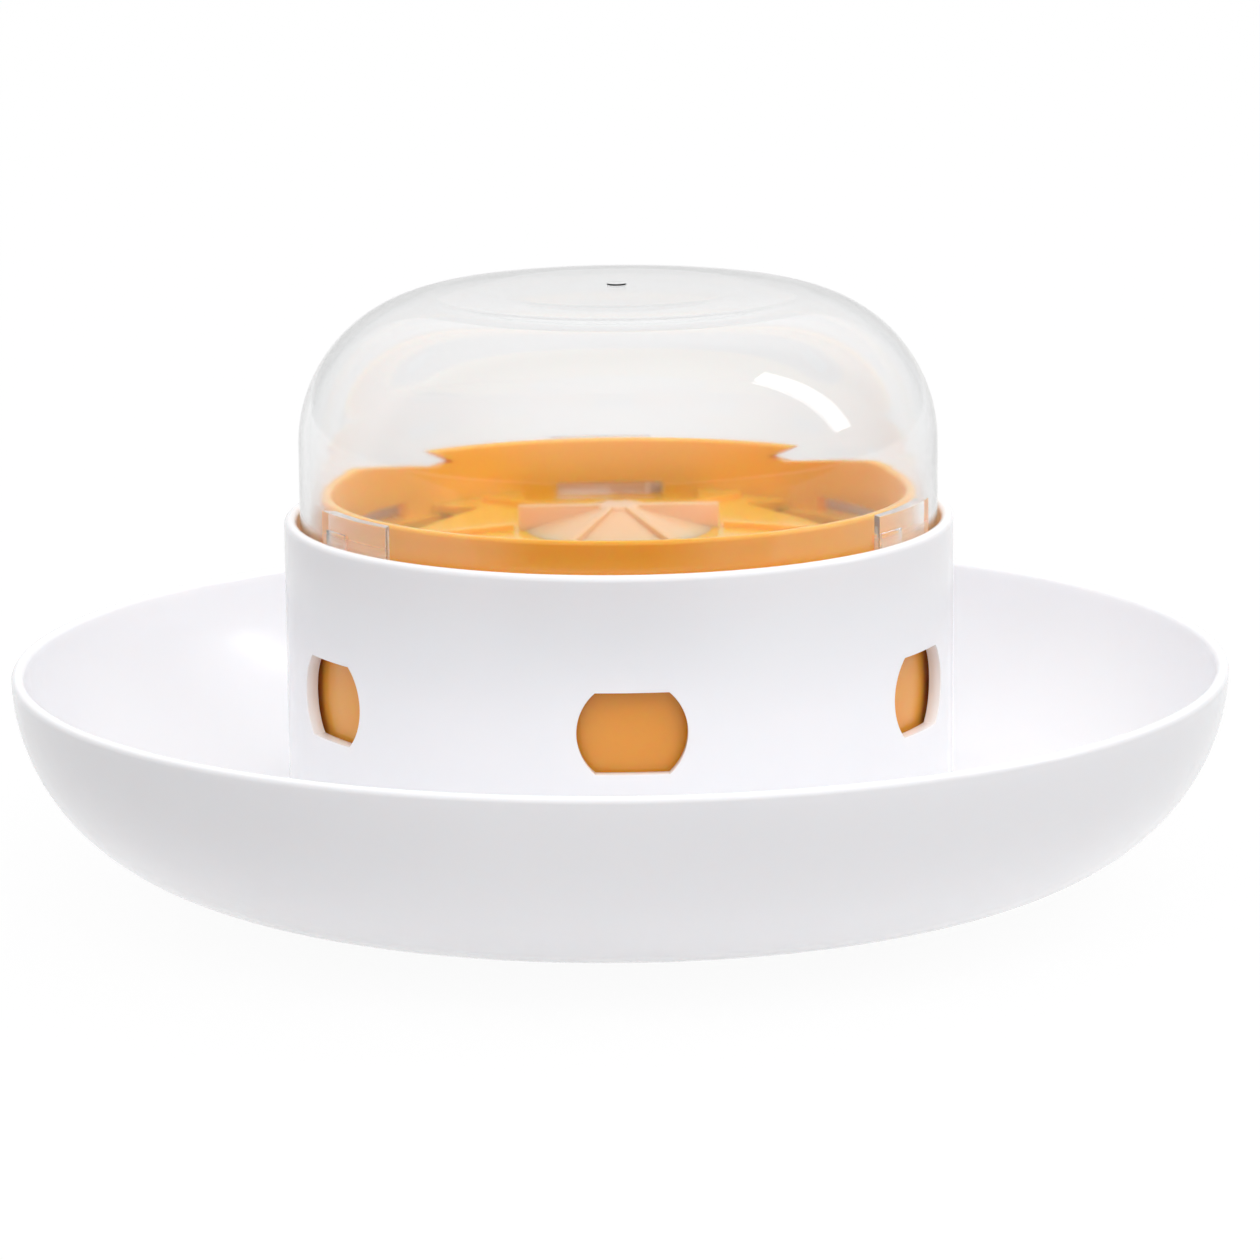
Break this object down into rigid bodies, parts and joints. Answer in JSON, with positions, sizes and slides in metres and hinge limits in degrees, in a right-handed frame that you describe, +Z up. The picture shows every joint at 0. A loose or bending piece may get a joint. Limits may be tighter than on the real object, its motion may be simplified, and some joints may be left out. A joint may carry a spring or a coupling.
{
  "type": "pet treat dispenser",
  "caption": "Saucer-shaped pet treat dispenser: a white dish round a windowed tower, an orange cup that turns to open the windows, and a clear dome that lifts off.",
  "frame": {"origin": "under the middle of the foot ring, on the surface that it stands on", "axes": "+Z up along the tower's axis, -Y towards the front"},
  "size_m": [0.25, 0.25, 0.1258],
  "materials": {
    "white_plastic": "glossy injection-moulded white",
    "orange_plastic": "glossy injection-moulded orange",
    "pale_plastic": "pale orange, thin and slightly see-through",
    "clear_plastic": "clear polished",
    "steel": "zinc plated",
    "rubber": "matt non-slip"
  },
  "bodies": {
    "base": {"saucer_bowl": "white_plastic", "foot_ring": "rubber", "window_tower": "white_plastic", "tower_deck": "white_plastic", "tower_screws": "steel", "pivot_washer": "steel", "pivot_screw": "steel"},
    "cup": {"gate_cup": "orange_plastic", "cup_collar": "orange_plastic", "cone_tray": "orange_plastic", "spreader_hub": "pale_plastic"},
    "dome": {"clear_dome": "clear_plastic"}
  },
  "joints": [
    {"name": "cup_turn", "type": "hinge", "parent": "base", "child": "cup", "pos_m": [0, 0, 0.0365], "axis": [0, 0, 1], "range_deg": [0, 30]},
    {"name": "dome_lift", "type": "slide", "parent": "cup", "child": "dome", "axis": [0, 0, 1], "range_m": [0, 0.045]}
  ]
}
